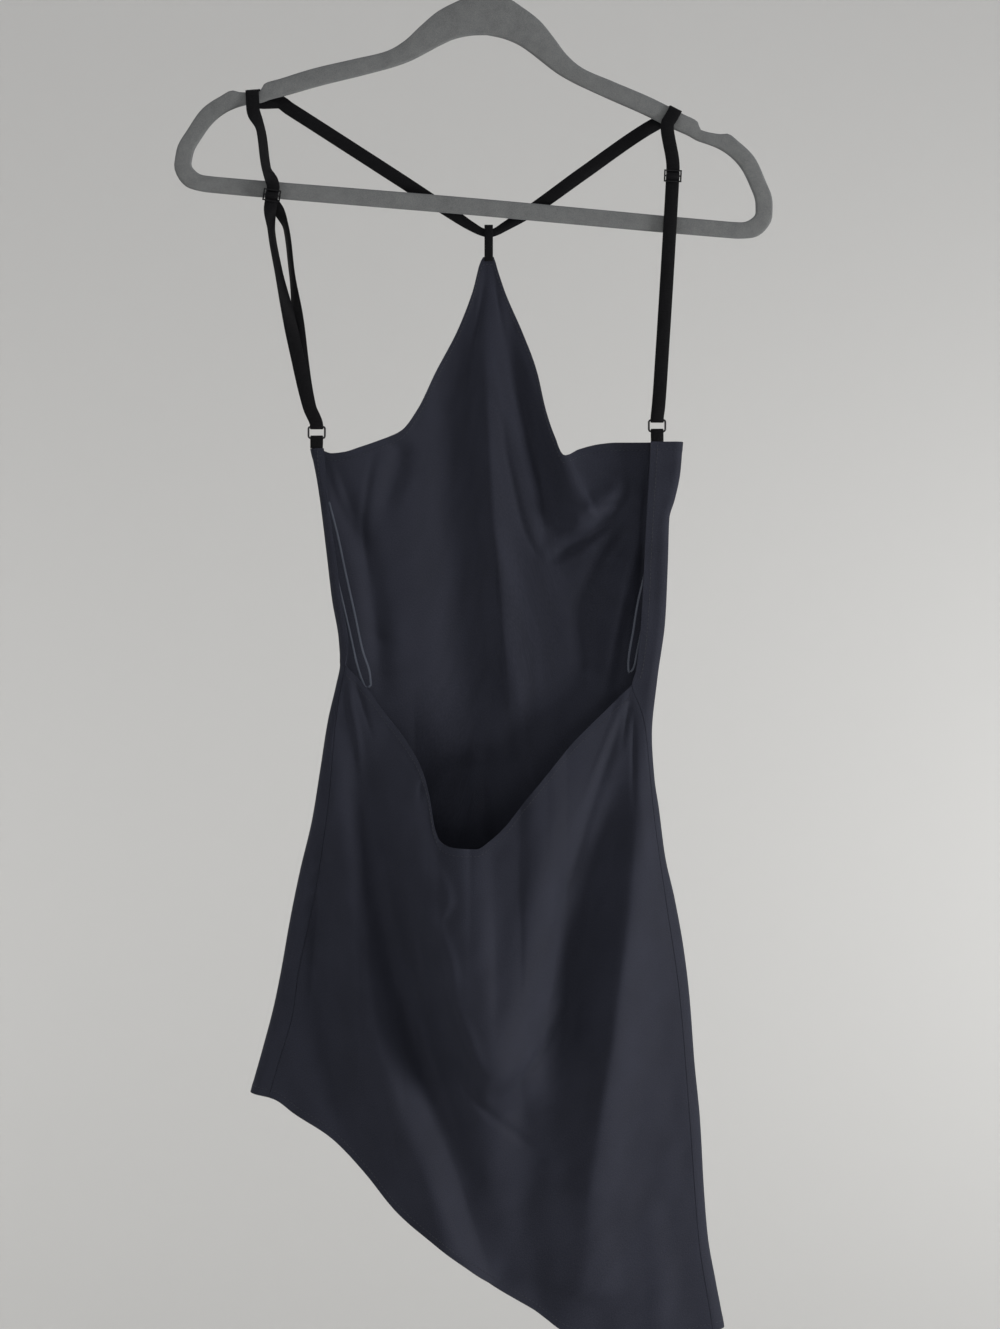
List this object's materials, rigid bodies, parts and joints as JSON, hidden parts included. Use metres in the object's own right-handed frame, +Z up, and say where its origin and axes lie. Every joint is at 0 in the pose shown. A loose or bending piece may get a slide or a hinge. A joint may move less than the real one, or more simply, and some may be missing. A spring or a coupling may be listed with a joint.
{
  "type": "slip mini dress on a flocked clothes hanger",
  "caption": "Bias-cut halter mini dress with wing-shaped bodice, crossed adjustable straps, draped open back and slanting hem, hanging on a slim flocked hanger with a wire hook",
  "frame": {"origin": "the inside top of the hanger's hook, where a rail carries it", "axes": "+Z up, +X to the viewer's right, -Y toward the viewer, on the draped open side"},
  "size_m": [0.4487, 0.0862, 1.0899],
  "materials": {
    "cloth": "dark navy-charcoal slinky cloth with a soft sheen",
    "strap_satin": "black satin ribbon",
    "black_metal": "black coated slider",
    "ring_metal": "dark plated ring",
    "hang_ribbon": "thin grey satin ribbon",
    "grey_flock": "grey flocked plastic",
    "steel": "plain steel wire"
  },
  "bodies": {
    "root": {"front_panel": "cloth", "back_panel": "cloth", "strap": "strap_satin", "halter_loop": "strap_satin", "tab_left": "strap_satin", "tab_right": "strap_satin", "slider_left": "black_metal", "slider_right": "black_metal", "ring_left": "ring_metal", "ring_right": "ring_metal", "hang_loop_left": "hang_ribbon", "hang_loop_right": "hang_ribbon", "hanger": "grey_flock", "hanger_hook": "steel"}
  },
  "joints": []
}
